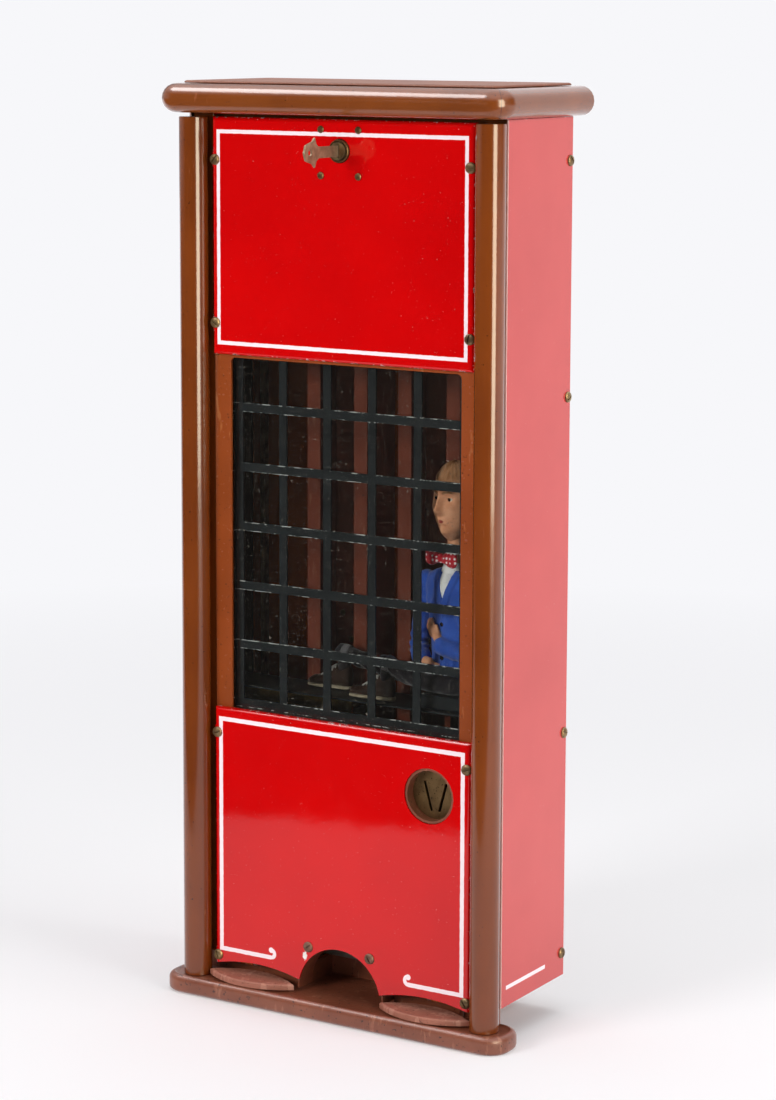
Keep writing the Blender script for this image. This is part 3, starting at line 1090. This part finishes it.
def build_coin_entry(hinge):
    """Stepped ring in the lower panel, slotted coin plate and the two coin chutes behind it."""
    ring_outer = COIN_HOLE_RADIUS - SEAT_GAP
    ring_inner = ring_outer - COIN_RING_WALL
    flange_y = FRAME_BACK_Y + SEAT_GAP
    plate_y = flange_y + COIN_FLANGE_SHEET + SEAT_GAP
    collar = rod_y(COIN_X, COIN_Z, ring_outer, FACE_Y + COIN_RING_RECESS, flange_y + COIN_FLANGE_SHEET)
    flange = rod_y(COIN_X, COIN_Z, COIN_FLANGE_RADIUS, flange_y, flange_y + COIN_FLANGE_SHEET)
    bore = rod_y(COIN_X, COIN_Z, ring_inner, FACE_Y - CUT_OVERRUN, plate_y)
    add_object("coin_ring", cut(join(collar, flange), bore), "brown_enamel", hinge)
    plate_back_y = plate_y + COIN_PLATE_THICKNESS
    plate = rod_y(COIN_X, COIN_Z, COIN_FLANGE_RADIUS, plate_y, plate_back_y)
    slots = []
    for side in (-1, 1):
        x = COIN_X + side * COIN_SLOT_SPACING / 2
        slot = box((-COIN_SLOT_WIDTH / 2, plate_y - CUT_OVERRUN, -COIN_SLOT_LENGTH / 2),
                   (COIN_SLOT_WIDTH / 2, plate_back_y + CUT_OVERRUN, COIN_SLOT_LENGTH / 2))
        lean = Matrix.Rotation(side * COIN_SLOT_LEAN, 4, "Y")
        place = Matrix.Translation((x, 0.0, COIN_Z - COIN_SLOT_DROP))
        bmesh.ops.transform(slot, matrix=place @ lean, verts=slot.verts)
        slots.append(slot)
    add_object("coin_plate", cut(plate, *slots), "aged_brass", hinge)
    front_y = plate_back_y + SEAT_GAP
    back_y = front_y + CHUTE_DEPTH
    mouth_high_z = COIN_Z - COIN_SLOT_DROP + COIN_SLOT_LENGTH / 2 + CHUTE_SHEET
    mouth_low_z = mouth_high_z - COIN_SLOT_LENGTH - 2 * CHUTE_SHEET
    for side, word in ((-1, "left"), (1, "right")):
        middle = COIN_X + side * (CHUTE_WIDTH / 2 + SEAT_GAP)
        half = CHUTE_WIDTH / 2
        shell = box((middle - half, front_y, CHUTE_BOTTOM_Z),
                    (middle + half, back_y, mouth_high_z + CHUTE_TOP_MARGIN))
        inside = half - CHUTE_SHEET
        bore = box((middle - inside, front_y + CHUTE_SHEET, CHUTE_BOTTOM_Z - CUT_OVERRUN),
                   (middle + inside, back_y - CHUTE_SHEET, mouth_high_z + CHUTE_TOP_MARGIN - CHUTE_SHEET))
        mouth = box((middle - inside, front_y - CUT_OVERRUN, mouth_low_z),
                    (middle + inside, front_y + CHUTE_SHEET * 2, mouth_high_z))
        add_object(f"coin_chute_{word}", cut(cut(shell, bore), mouth), "tinplate", hinge)


def build_hood(hinge):
    """Arched delivery hood, flanged and screwed behind the lower panel."""
    flange_front_y = PANEL_BACK_Y + SEAT_GAP
    back_y = flange_front_y + HOOD_DEPTH
    outer = extrude_y(arch_outline(HOOD_OUTER_RADIUS, ARCH_CENTRE_Z), flange_front_y, back_y)
    flange = extrude_y(arch_outline(HOOD_FLANGE_RADIUS, HOOD_FLANGE_BOTTOM_Z), flange_front_y,
                       flange_front_y + HOOD_SHEET)
    hood = join(outer, flange)
    inner = extrude_y(arch_outline(HOOD_INNER_RADIUS, ARCH_CENTRE_Z - CUT_OVERRUN), flange_front_y - CUT_OVERRUN,
                      back_y + CUT_OVERRUN)
    hood = cut(hood, inner)
    head_y = FACE_Y - SEAT_GAP
    for side in (-1, 1):
        x = side * HOOD_SCREW_SPACING / 2
        shank = rod_y(x, HOOD_SCREW_Z, SCREW_SHANK_RADIUS, head_y, flange_front_y + HOOD_SHEET / 2,
                      SMALL_SIDES)
        head = dome_head((x, head_y, HOOD_SCREW_Z), (0, -1, 0), SCREW_HEAD_RADIUS, SCREW_HEAD_HEIGHT)
        hood = join(hood, join(shank, head))
    add_object("delivery_hood", hood, "base_enamel", hinge)


def build_magazines():
    """Sheet-steel gum magazines with an open front slot, and the follower weights in them."""
    front_y = FACE_Y + MAGAZINE_FRONT
    half = MAGAZINE_WIDTH / 2
    for side, word in ((-1, "left"), (1, "right")):
        x = side * MAGAZINE_SPACING / 2
        blank = box((x - half, front_y, MAGAZINE_BOTTOM_Z), (x + half, MAGAZINE_BACK_Y, MAGAZINE_TOP_Z))
        hollow = box((x - half + MAGAZINE_SHEET, front_y + MAGAZINE_SHEET, MAGAZINE_BOTTOM_Z - CUT_OVERRUN),
                     (x + half - MAGAZINE_SHEET, MAGAZINE_BACK_Y - MAGAZINE_SHEET, MAGAZINE_TOP_Z + CUT_OVERRUN))
        slot = box((x - MAGAZINE_SLOT / 2, front_y - CUT_OVERRUN, MAGAZINE_BOTTOM_Z - CUT_OVERRUN),
                   (x + MAGAZINE_SLOT / 2, front_y + 2 * MAGAZINE_SHEET, MAGAZINE_TOP_Z + CUT_OVERRUN))
        add_object(f"gum_magazine_{word}", cut(cut(blank, hollow), slot), "magazine_enamel")
        inset = MAGAZINE_SHEET + FOLLOWER_CLEARANCE
        weight = box((x - half + inset, front_y + inset, MAGAZINE_BOTTOM_Z),
                     (x + half - inset, MAGAZINE_BACK_Y - inset, MAGAZINE_BOTTOM_Z + FOLLOWER_HEIGHT))
        edges = [edge for edge in weight.edges]
        bmesh.ops.bevel(weight, geom=edges, offset=MAGAZINE_SHEET, segments=1, profile=0.5, affect="EDGES")
        rest = axis_empty(f"follower_axis_{word}", (x, (front_y + MAGAZINE_BACK_Y) / 2, MAGAZINE_BOTTOM_Z))
        add_object(f"follower_weight_{word}", weight, "steel", rest)


def pitch_line_z():
    """Return the height of the rack's pitch line, under the table."""
    return TABLE_TOP_Z - TABLE_SHEET - 2 * TABLE_SHEET - DEDENDUM_SHARE * FEED_MODULE


def rack_outline():
    """Return the pusher's rack as (y, z) points, with a gap over the pinion's upright tooth."""
    pitch = math.pi * FEED_MODULE
    tip_z = pitch_line_z() - ADDENDUM_SHARE * FEED_MODULE
    root_z = pitch_line_z() + DEDENDUM_SHARE * FEED_MODULE
    half_tooth = pitch / 4 - BACKLASH / 2
    tip_half = half_tooth - ADDENDUM_SHARE * FEED_MODULE * math.tan(PRESSURE_ANGLE)
    root_half = half_tooth + DEDENDUM_SHARE * FEED_MODULE * math.tan(PRESSURE_ANGLE)
    front_y = FACE_Y + RACK_FRONT
    back_y = front_y + RACK_LENGTH
    gap_y = FACE_Y + FEED_SHAFT_SETBACK
    outline = [(front_y, TABLE_TOP_Z + SEAT_GAP + PUSHER_SHEET / 2), (front_y, root_z)]
    tooth = math.ceil((front_y + root_half - gap_y) / pitch - 0.5)
    while gap_y + (tooth + 0.5) * pitch + root_half < back_y:
        middle = gap_y + (tooth + 0.5) * pitch
        outline += [(middle - root_half, root_z), (middle - tip_half, tip_z),
                    (middle + tip_half, tip_z), (middle + root_half, root_z)]
        tooth += 1
    return outline + [(back_y, root_z), (back_y, TABLE_TOP_Z + SEAT_GAP + PUSHER_SHEET / 2)]


def build_feed():
    """Feed table, pinion shaft, and a rack-driven pusher under each magazine."""
    half = TABLE_WIDTH / 2
    front_y, back_y = FACE_Y + TABLE_FRONT, FACE_Y + TABLE_BACK
    plate = box((-half, front_y, TABLE_TOP_Z - TABLE_SHEET), (half, back_y, TABLE_TOP_Z))
    cheeks = [box((min(a, b), front_y, WALL_BOTTOM_Z), (max(a, b), back_y, TABLE_TOP_Z))
              for a, b in ((-half, -half + CHEEK_SHEET), (half - CHEEK_SHEET, half))]
    shaft_y = FACE_Y + FEED_SHAFT_SETBACK
    shaft_z = pitch_line_z() - FEED_TEETH * FEED_MODULE / 2
    table = join(plate, *cheeks)
    slot_back_y = FACE_Y + RACK_FRONT + RACK_LENGTH + RACK_SLOT_ROOM
    slot_half = RACK_WIDTH / 2 + RACK_SLOT_ROOM
    slots = []
    for side in (-1, 1):
        x = side * MAGAZINE_SPACING / 2
        slots.append(box((x - slot_half, front_y - CUT_OVERRUN, TABLE_TOP_Z - TABLE_SHEET - CUT_OVERRUN),
                         (x + slot_half, slot_back_y, TABLE_TOP_Z + CUT_OVERRUN)))
    bore = rod_x(shaft_y, shaft_z, FEED_SHAFT_RADIUS + SEAT_GAP, -TABLE_WIDTH, TABLE_WIDTH)
    add_object("feed_table", cut(table, bore, *slots), "tinplate")
    shaft_end = half + FEED_SHAFT_END
    add_object("feed_shaft", rod_x(shaft_y, shaft_z, FEED_SHAFT_RADIUS, -shaft_end, shaft_end), "steel")
    for side, word in ((-1, "left"), (1, "right")):
        x = side * MAGAZINE_SPACING / 2
        turn = axis_empty(f"pinion_axis_{word}", (x, shaft_y, shaft_z))
        outline = gear_outline(FEED_TEETH, FEED_MODULE, (shaft_y, shaft_z), math.pi / 2)
        gear = extrude_x(outline, x - FEED_GEAR_WIDTH / 2, x + FEED_GEAR_WIDTH / 2)
        bore = rod_x(shaft_y, shaft_z, FEED_SHAFT_RADIUS + SEAT_GAP, x - FEED_GEAR_WIDTH, x + FEED_GEAR_WIDTH)
        add_object(f"feed_pinion_{word}", cut(gear, bore), "polished_brass", turn)
        low_z = TABLE_TOP_Z + SEAT_GAP
        plate = box((x - PUSHER_WIDTH / 2, FACE_Y + PUSHER_FRONT, low_z),
                    (x + PUSHER_WIDTH / 2, FACE_Y + PUSHER_BACK, low_z + PUSHER_SHEET))
        lip = box((x - PUSHER_WIDTH / 2, FACE_Y + PUSHER_BACK - PUSHER_LIP, low_z),
                  (x + PUSHER_WIDTH / 2, FACE_Y + PUSHER_BACK, MAGAZINE_BOTTOM_Z - SEAT_GAP))
        rack = extrude_x(rack_outline(), x - RACK_WIDTH / 2, x + RACK_WIDTH / 2)
        slide = axis_empty(f"pusher_axis_{word}", (x, FACE_Y + PUSHER_FRONT, low_z))
        add_object(f"gum_pusher_{word}", join(plate, lip, rack), "steel", slide)


def build_funnel():
    """Sloping gum funnel between the feed table and the delivery tray."""
    back_y, front_y = FACE_Y + FUNNEL_BACK, FACE_Y + FUNNEL_FRONT
    half = FUNNEL_WIDTH / 2
    wall = box((-half, back_y - FUNNEL_SHEET, WALL_BOTTOM_Z), (half, back_y, FUNNEL_TOP_Z))
    throat = FUNNEL_THROAT / 2
    slopes = []
    for side in (-1, 1):
        outline = [(side * throat, WALL_BOTTOM_Z), (side * (throat + FUNNEL_SHEET), WALL_BOTTOM_Z),
                   (side * half, FUNNEL_TOP_Z - FUNNEL_SHEET), (side * half, FUNNEL_TOP_Z)]
        slopes.append(extrude_y(outline, front_y, back_y - FUNNEL_SHEET / 2))
    add_object("gum_funnel", join(wall, *slopes), "tinplate")


def build_cash_box():
    """Open tin box that the coins drop into."""
    top_z = WALL_BOTTOM_Z + CASH_HEIGHT
    low = (CASH_LEFT_X, FACE_Y + CASH_FRONT, WALL_BOTTOM_Z)
    high = (CASH_RIGHT_X, FACE_Y + CASH_BACK, top_z)
    inner_low = tuple(value + CASH_SHEET for value in low)
    inner_high = (high[0] - CASH_SHEET, high[1] - CASH_SHEET, top_z + CUT_OVERRUN)
    add_object("cash_box", cut(box(low, high), box(inner_low, inner_high)), "tinplate")


def build_stage():
    """Shelf that carries the doll and the clockwork, with its side edges turned down."""
    outer_x = SIDE_INNER_X - SEAT_GAP
    notch_x = outer_x - POST_SHEET - SEAT_GAP
    front_y, back_y = FACE_Y + STAGE_FRONT, FACE_Y + MAGAZINE_FRONT - SEAT_GAP
    blank = box((-outer_x, front_y, STAGE_Z - STAGE_LIP), (outer_x, back_y, STAGE_Z))
    hollow = box((STAGE_SHEET - outer_x, front_y - CUT_OVERRUN, STAGE_Z - STAGE_LIP - CUT_OVERRUN),
                 (outer_x - STAGE_SHEET, back_y + CUT_OVERRUN, STAGE_UNDER_Z))
    hole = rod_z(DOLL_X, DOLL_Y, SPINDLE_RADIUS + SEAT_GAP, STAGE_UNDER_Z - CUT_OVERRUN, STAGE_Z + CUT_OVERRUN,
                 SMALL_SIDES)
    notches = []
    for side in (-1, 1):
        span = sorted((side * notch_x, side * (outer_x + CUT_OVERRUN)))
        notches.append(box((span[0], front_y - CUT_OVERRUN, STAGE_Z - STAGE_LIP - CUT_OVERRUN),
                           (span[1], POST_FRONT_Y + POST_LEG + SEAT_GAP, STAGE_Z + CUT_OVERRUN)))
    add_object("stage_shelf", cut(cut(blank, hollow), hole, *notches), "black_paint")


def build_clockwork():
    """Spring motor: two plates, the spring barrel, the second wheel and the governor fan."""
    front_y, back_y = FACE_Y + CLOCK_FRONT, FACE_Y + CLOCK_BACK
    top_z = STAGE_UNDER_Z - SEAT_GAP
    second_x = BARREL_X + (BARREL_TEETH + SECOND_PINION_TEETH) * BARREL_MODULE / 2
    fan_reach = (SECOND_WHEEL_TEETH + FAN_PINION_TEETH) * TRAIN_MODULE / 2
    fan_x = second_x + fan_reach * math.cos(FAN_BEARING)
    fan_z = BARREL_Z + fan_reach * math.sin(FAN_BEARING)
    arbors = ((second_x, BARREL_Z), (fan_x, fan_z))
    plates = {}
    sheets = (("front", front_y, front_y + CLOCK_SHEET), ("back", back_y - CLOCK_SHEET, back_y))
    for word, near, far in sheets:
        plate = box((CLOCK_LEFT_X, near, CLOCK_BOTTOM_Z), (CLOCK_RIGHT_X, far, top_z))
        drills = [rod_y(x, z, ARBOR_RADIUS + SEAT_GAP, near - CUT_OVERRUN, far + CUT_OVERRUN, SMALL_SIDES)
                  for x, z in arbors]
        drills.append(rod_y(BARREL_X, BARREL_Z, WINDING_RADIUS + SEAT_GAP, near - CUT_OVERRUN,
                            far + CUT_OVERRUN))
        plates[word] = cut(plate, *drills)
    pillars = []
    for x in (CLOCK_LEFT_X + PILLAR_INSET, CLOCK_RIGHT_X - PILLAR_INSET):
        for z in (CLOCK_BOTTOM_Z + PILLAR_INSET, top_z - PILLAR_INSET):
            pillars.append(rod_y(x, z, PILLAR_RADIUS, front_y + CLOCK_SHEET + SEAT_GAP, back_y - CLOCK_SHEET / 2,
                                 SMALL_SIDES))
    add_object("clock_front_plate", plates["front"], "polished_brass")
    add_object("clock_back_plate", join(plates["back"], *pillars), "polished_brass")
    gear_y = front_y + CLOCK_SHEET + GEAR_SHEET
    barrel_axis = axis_empty("barrel_axis", (BARREL_X, gear_y, BARREL_Z))
    great_wheel = extrude_y(gear_outline(BARREL_TEETH, BARREL_MODULE, (BARREL_X, BARREL_Z), 0.0),
                            gear_y, gear_y + GEAR_SHEET)
    drum = rod_y(BARREL_X, BARREL_Z, BARREL_DRUM_RADIUS, gear_y + GEAR_SHEET / 2, gear_y + BARREL_DRUM_WIDTH)
    bore = rod_y(BARREL_X, BARREL_Z, WINDING_RADIUS + SEAT_GAP, front_y, back_y)
    add_object("mainspring_barrel", cut(join(great_wheel, drum), bore), "polished_brass", barrel_axis)
    arbor = rod_y(BARREL_X, BARREL_Z, WINDING_RADIUS, front_y - CLOCK_SHEET / 2, back_y + CLOCK_SHEET)
    square = WINDING_SQUARE / 2
    winder = box((BARREL_X - square, front_y - WINDING_SQUARE_LENGTH, BARREL_Z - square),
                 (BARREL_X + square, front_y, BARREL_Z + square))
    winding_axis = axis_empty("winding_axis", (BARREL_X, front_y, BARREL_Z))
    add_object("winding_arbor", join(arbor, winder), "steel", winding_axis)
    second_axis = axis_empty("second_axis", (second_x, gear_y, BARREL_Z))
    pinion_phase = math.pi + math.pi / SECOND_PINION_TEETH
    pinion = extrude_y(gear_outline(SECOND_PINION_TEETH, BARREL_MODULE, (second_x, BARREL_Z), pinion_phase),
                       gear_y, gear_y + GEAR_SHEET)
    wheel_y = gear_y + BARREL_DRUM_WIDTH + SEAT_GAP * 2
    wheel = extrude_y(gear_outline(SECOND_WHEEL_TEETH, TRAIN_MODULE, (second_x, BARREL_Z), FAN_BEARING),
                      wheel_y, wheel_y + WHEEL_SHEET)
    arbor = rod_y(second_x, BARREL_Z, ARBOR_RADIUS, front_y, back_y, SMALL_SIDES)
    add_object("second_wheel", join(arbor, pinion, wheel), "polished_brass", second_axis)
    fan_axis = axis_empty("fan_axis", (fan_x, gear_y, fan_z))
    fan_phase = FAN_BEARING + math.pi + math.pi / FAN_PINION_TEETH
    fan_pinion = extrude_y(gear_outline(FAN_PINION_TEETH, TRAIN_MODULE, (fan_x, fan_z), fan_phase),
                           wheel_y - SEAT_GAP, wheel_y + WHEEL_SHEET)
    blade_y = wheel_y - GEAR_SHEET / 2 - FAN_BLADE_WIDTH
    blades = [box((fan_x - FAN_BLADE_RADIUS, blade_y, fan_z - FAN_BLADE_SHEET / 2),
                  (fan_x + FAN_BLADE_RADIUS, blade_y + FAN_BLADE_WIDTH, fan_z + FAN_BLADE_SHEET / 2)),
              box((fan_x - FAN_BLADE_SHEET / 2, blade_y, fan_z - FAN_BLADE_RADIUS),
                  (fan_x + FAN_BLADE_SHEET / 2, blade_y + FAN_BLADE_WIDTH, fan_z + FAN_BLADE_RADIUS))]
    arbor = rod_y(fan_x, fan_z, ARBOR_RADIUS, front_y, back_y, SMALL_SIDES)
    add_object("governor_fan", join(arbor, fan_pinion, *blades), "polished_brass", fan_axis)


def ellipse_ring(x, y, z, half_width, half_depth, sides=20):
    """Return a level ellipse."""
    return [(x + half_width * u, y + half_depth * v, z) for u, v in circle((0.0, 0.0), 1.0, sides)]


def turned(shape, angle):
    """Turn a shape about the doll's upright axis."""
    place = Matrix.Translation((DOLL_X, DOLL_Y, 0.0))
    turn = place @ Matrix.Rotation(angle, 4, "Z") @ place.inverted()
    bmesh.ops.transform(shape, matrix=turn, verts=shape.verts)
    return shape


def build_doll_seat():
    """Low seat on the stage, with the spindle's hole."""
    low_z = STAGE_Z + SEAT_GAP
    seat = box((DOLL_X - SEAT_WIDTH / 2, DOLL_Y - SEAT_DEPTH / 2, low_z),
               (DOLL_X + SEAT_WIDTH / 2, DOLL_Y + SEAT_DEPTH / 2, low_z + SEAT_HEIGHT))
    hole = rod_z(DOLL_X, DOLL_Y, SPINDLE_RADIUS + SEAT_GAP, 0.0, CAP_TOP_Z, SMALL_SIDES)
    add_object("doll_seat", cut(seat, hole), "black_paint")


def shoe(toe_x, y):
    """Return a laced shoe that points along -X and stands on the stage."""
    low_z = STAGE_Z + SEAT_GAP
    rings = []
    for along, width, height in SHOE_SHARES:
        half = SHOE_WIDTH / 2 * width
        top = SHOE_HEIGHT * height
        ring = []
        for u, v in circle((0.0, 0.0), 1.0, SMALL_SIDES):
            rise = top * (SHOE_MIDDLE_SHARE + (1 - SHOE_MIDDLE_SHARE) * v)
            ring.append((toe_x + along * SHOE_LENGTH, y + half * u, low_z + max(0.0, rise)))
        rings.append(ring)
    return loft(rings)


def build_doll_legs():
    """Hips on the seat, two bent legs in dark trousers, and the shoes."""
    hip_z = STAGE_Z + 2 * SEAT_GAP + SEAT_HEIGHT
    half_width, half_depth = HIP_WIDTH / 2, HIP_DEPTH / 2
    rings = []
    for share, width in HIP_SHARES:
        rings.append(ellipse_ring(DOLL_X, DOLL_Y, hip_z + HIP_HEIGHT * share,
                                  half_width * width, half_depth * width))
    hips = loft(rings)
    shoe_top_z = STAGE_Z + SEAT_GAP + SHOE_HEIGHT
    ankle_z = shoe_top_z + ANKLE_RISE
    thigh_z = hip_z + HIP_HEIGHT / 2 - SEAT_GAP
    rear_y, near_y = DOLL_Y + REAR_LEG_BACK, DOLL_Y - NEAR_LEG_FORWARD
    left_toe_x = DOLL_X - LEFT_TOE_REACH
    right_toe_x = left_toe_x + TOE_SPACING
    legs = hips
    for hip_share, y, toe_x in zip(HIP_JOINT_SHARES, (rear_y, near_y), (left_toe_x, right_toe_x)):
        hip = (DOLL_X - half_width * hip_share, y, thigh_z)
        ankle = (toe_x + ANKLE_SHARE * SHOE_LENGTH, y, ankle_z)
        knee = ((DOLL_X + ankle[0]) / 2, y, thigh_z)
        thigh = limb(hip, knee, *(LEG_RADIUS * share for share in THIGH_SHARES))
        shin = limb(knee, ankle, *(LEG_RADIUS * share for share in SHIN_SHARES))
        legs = join(legs, thigh, shin)
    hole = rod_z(DOLL_X, DOLL_Y, SPINDLE_RADIUS + SEAT_GAP, 0.0, CAP_TOP_Z, SMALL_SIDES)
    add_object("doll_legs", cut(legs, hole), "dark_cloth")
    add_object("doll_shoe_left", shoe(left_toe_x, rear_y), "shoe_leather")
    add_object("doll_shoe_right", shoe(right_toe_x, near_y), "shoe_leather")


def build_doll_body():
    """Turning upper body: jacket with arms, head on its neck, and the spindle with its lever."""
    turn = axis_empty("doll_axis", (DOLL_X, DOLL_Y, TORSO_BOTTOM_Z))
    rings = []
    for up, width, depth in TORSO_SHARES:
        rings.append(ellipse_ring(DOLL_X, DOLL_Y, TORSO_BOTTOM_Z + TORSO_HEIGHT * up,
                                  SHOULDER_WIDTH / 2 * width, TORSO_DEPTH / 2 * depth))
    torso = loft(rings)
    arms = zip((-1, 1), WRIST_REACH_SHARES, WRIST_FORWARDS, WRIST_RISE_SHARES, HAND_LIFTS)
    for side, wrist_reach, wrist_forward, wrist_rise, lift in arms:
        shoulder = Vector((DOLL_X + side * (SHOULDER_WIDTH / 2 - SHOULDER_INSET), DOLL_Y,
                           TORSO_BOTTOM_Z + TORSO_HEIGHT * SHOULDER_RISE_SHARE))
        elbow = Vector((DOLL_X + side * SHOULDER_WIDTH * ELBOW_REACH_SHARE, DOLL_Y - ELBOW_FORWARD,
                        TORSO_BOTTOM_Z + TORSO_HEIGHT * ELBOW_RISE_SHARE))
        wrist = Vector((DOLL_X + side * SHOULDER_WIDTH * wrist_reach, DOLL_Y - wrist_forward,
                        TORSO_BOTTOM_Z + TORSO_HEIGHT * wrist_rise))
        knuckle = wrist + (wrist - elbow).normalized() * HAND_RADIUS + Vector((0.0, 0.0, lift))
        upper_arm = limb(shoulder, elbow, *(ARM_RADIUS * share for share in UPPER_ARM_SHARES))
        forearm = limb(elbow, wrist, *(ARM_RADIUS * share for share in FOREARM_SHARES))
        hand = limb(wrist, knuckle, *(HAND_RADIUS * share for share in HAND_SHARES))
        torso = join(torso, upper_arm, forearm, hand)
    socket_z = TORSO_BOTTOM_Z + TORSO_HEIGHT
    spindle_top_z = TORSO_BOTTOM_Z + TORSO_HEIGHT / 4
    bore = rod_z(DOLL_X, DOLL_Y, SPINDLE_RADIUS + SEAT_GAP, 0.0, spindle_top_z + SEAT_GAP, SMALL_SIDES)
    add_object("doll_torso", cut(turned(torso, DOLL_TURN), bore), "blue_cloth", turn)
    low_z = socket_z + SEAT_GAP
    chin_z = low_z + NECK_HEIGHT
    neck = rod_z(DOLL_X, DOLL_Y, NECK_RADIUS, low_z, chin_z + HEAD_HEIGHT / 3, SMALL_SIDES)
    rings = []
    for up, width, depth in HEAD_SHARES:
        rings.append(ellipse_ring(DOLL_X, DOLL_Y, chin_z + HEAD_HEIGHT * up, HEAD_WIDTH / 2 * width,
                                  HEAD_DEPTH / 2 * depth))
    head = join(loft(rings), neck)
    add_object("doll_head", turned(head, DOLL_TURN), "painted_skin", turn)
    spindle = rod_z(DOLL_X, DOLL_Y, SPINDLE_RADIUS, SPINDLE_BOTTOM_Z, spindle_top_z, SMALL_SIDES)
    lever = box((DOLL_X - SPINDLE_ARM_LENGTH, DOLL_Y - SPINDLE_ARM_WIDTH / 2, SPINDLE_BOTTOM_Z),
                (DOLL_X + SPINDLE_ARM_WIDTH / 2, DOLL_Y + SPINDLE_ARM_WIDTH / 2,
                 SPINDLE_BOTTOM_Z + SPINDLE_ARM_SHEET))
    add_object("doll_spindle", join(spindle, lever), "steel", turn)


def main():
    """Build the whole machine."""
    clear_scene()
    build_base()
    build_hinge_covers()
    build_columns()
    build_cabinet()
    build_cap()
    build_keeper()
    hinge = axis_empty("door_axis", (0.0, HINGE_Y, HINGE_Z))
    build_door_frame(hinge)
    build_hinge_brackets()
    build_panels(hinge)
    build_screw_strips(hinge)
    build_window(hinge)
    build_lock(hinge)
    build_coin_entry(hinge)
    build_hood(hinge)
    build_magazines()
    build_feed()
    build_funnel()
    build_cash_box()
    build_stage()
    build_clockwork()
    build_doll_seat()
    build_doll_legs()
    build_doll_body()


main()
